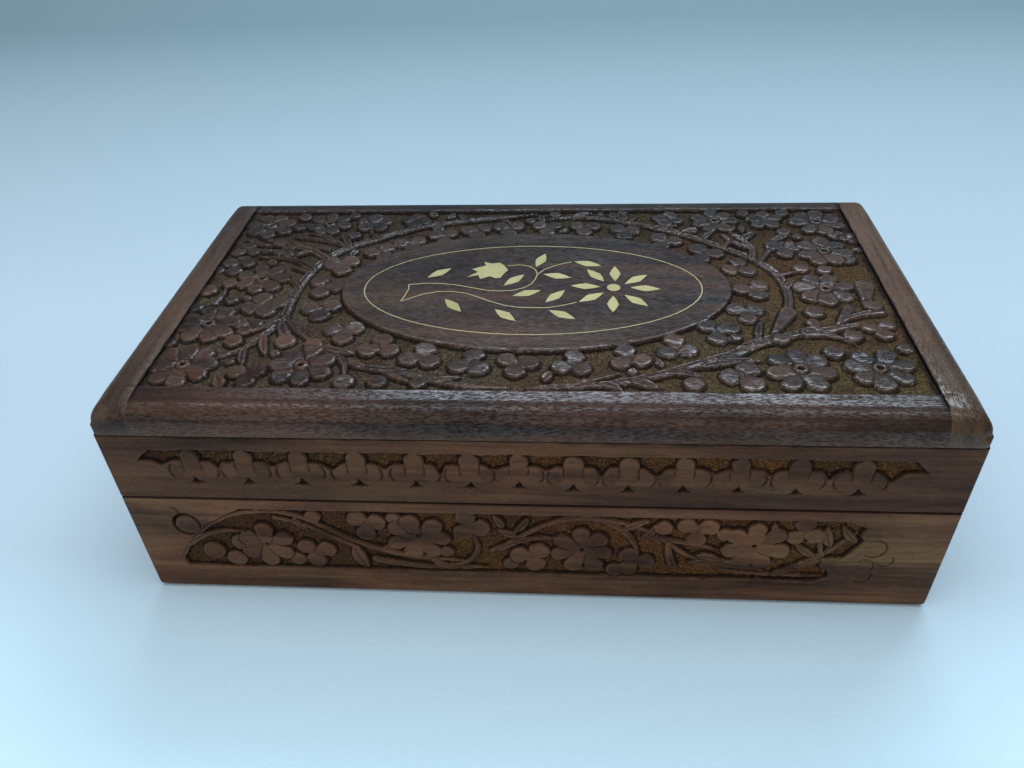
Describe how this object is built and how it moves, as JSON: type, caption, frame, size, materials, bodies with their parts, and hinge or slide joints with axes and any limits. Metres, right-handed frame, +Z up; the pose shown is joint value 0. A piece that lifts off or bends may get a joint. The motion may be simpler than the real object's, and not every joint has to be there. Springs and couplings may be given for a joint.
{
  "type": "keepsake box",
  "caption": "Rectangular carved wooden keepsake box with a hinged lid, a raised oval panel inlaid with a brass flower sprig, and a cloth lining.",
  "frame": {"origin": "middle of the underside, on the surface the box stands on", "axes": "+X along the width to the right, +Y from the front to the hinged back, +Z up"},
  "size_m": [0.24, 0.128, 0.0746],
  "materials": {
    "carved_wood": "satin varnish",
    "end_strip_wood": "satin varnish",
    "plywood": "bare",
    "velvet": "velvet",
    "inlay_brass": "sanded flush",
    "hinge_brass": "brassed",
    "steel": "plain"
  },
  "bodies": {
    "base": {"base_front_wall": "carved_wood", "base_back_wall": "carved_wood", "base_left_wall": "carved_wood", "base_right_wall": "carved_wood", "base_bottom_panel": "plywood", "bottom_panel_nails": "steel", "base_lining_floor": "velvet", "base_lining_front": "velvet", "base_lining_back": "velvet", "base_lining_left": "velvet", "base_lining_right": "velvet", "hinge_left_base_leaf": "hinge_brass", "hinge_left_pin": "hinge_brass", "hinge_right_base_leaf": "hinge_brass", "hinge_right_pin": "hinge_brass", "hinge_left_base_screws": "hinge_brass", "hinge_right_base_screws": "hinge_brass"},
    "lid": {"lid_front_wall": "carved_wood", "lid_back_wall": "carved_wood", "lid_left_wall": "carved_wood", "lid_right_wall": "carved_wood", "lid_top_board": "carved_wood", "lid_end_strip_left": "end_strip_wood", "lid_end_strip_right": "end_strip_wood", "lid_lining_top": "velvet", "lid_lining_front": "velvet", "lid_lining_back": "velvet", "lid_lining_left": "velvet", "lid_lining_right": "velvet", "inlay_border_wire": "inlay_brass", "inlay_stem_wires": "inlay_brass", "inlay_leaves": "inlay_brass", "inlay_lobed_leaf": "inlay_brass", "inlay_flower_petals": "inlay_brass", "inlay_flower_disc": "inlay_brass", "hinge_left_lid_leaf": "hinge_brass", "hinge_right_lid_leaf": "hinge_brass", "hinge_left_lid_screws": "hinge_brass", "hinge_right_lid_screws": "hinge_brass"}
  },
  "joints": [
    {"name": "lid_hinge", "type": "hinge", "parent": "base", "child": "lid", "pos_m": [0, 0.062, 0.0408], "axis": [-1, 0, 0], "range_deg": [0, 105]}
  ]
}
